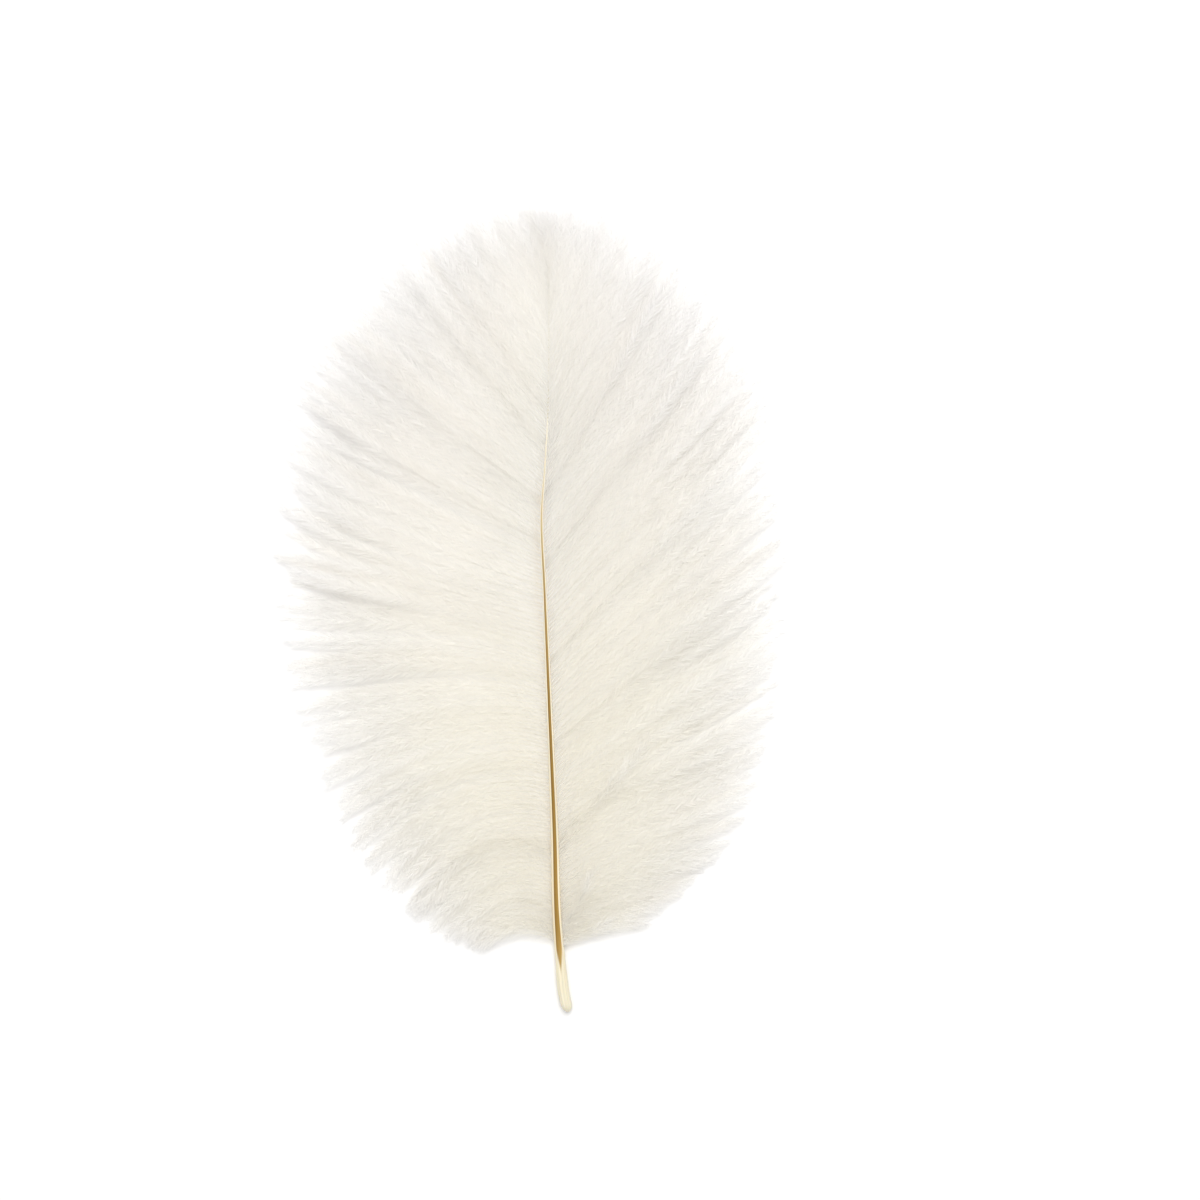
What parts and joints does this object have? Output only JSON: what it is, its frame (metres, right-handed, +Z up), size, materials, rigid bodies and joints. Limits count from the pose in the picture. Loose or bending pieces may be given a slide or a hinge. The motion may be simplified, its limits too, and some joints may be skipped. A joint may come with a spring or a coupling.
{
  "type": "ostrich feather",
  "caption": "Small soft ostrich plume lying flat: a slim tapering horn shaft with a bare quill, and a broad oval vane of loose, fluffy barbs on each side.",
  "frame": {"origin": "on the surface the feather lies on, under the middle of its bounding box", "axes": "+Y along the shaft from the quill to the feather's tip, +X to the right as seen from above with the tip away from the viewer, +Z up from the surface it lies on"},
  "size_m": [0.0928, 0.1524, 0.0059],
  "materials": {
    "shaft_horn": "smooth amber horn, satin to glossy",
    "barbs": "soft matt off-white down"
  },
  "bodies": {
    "root": {"shaft": "shaft_horn", "vane_left": "barbs", "vane_right": "barbs"}
  },
  "joints": []
}
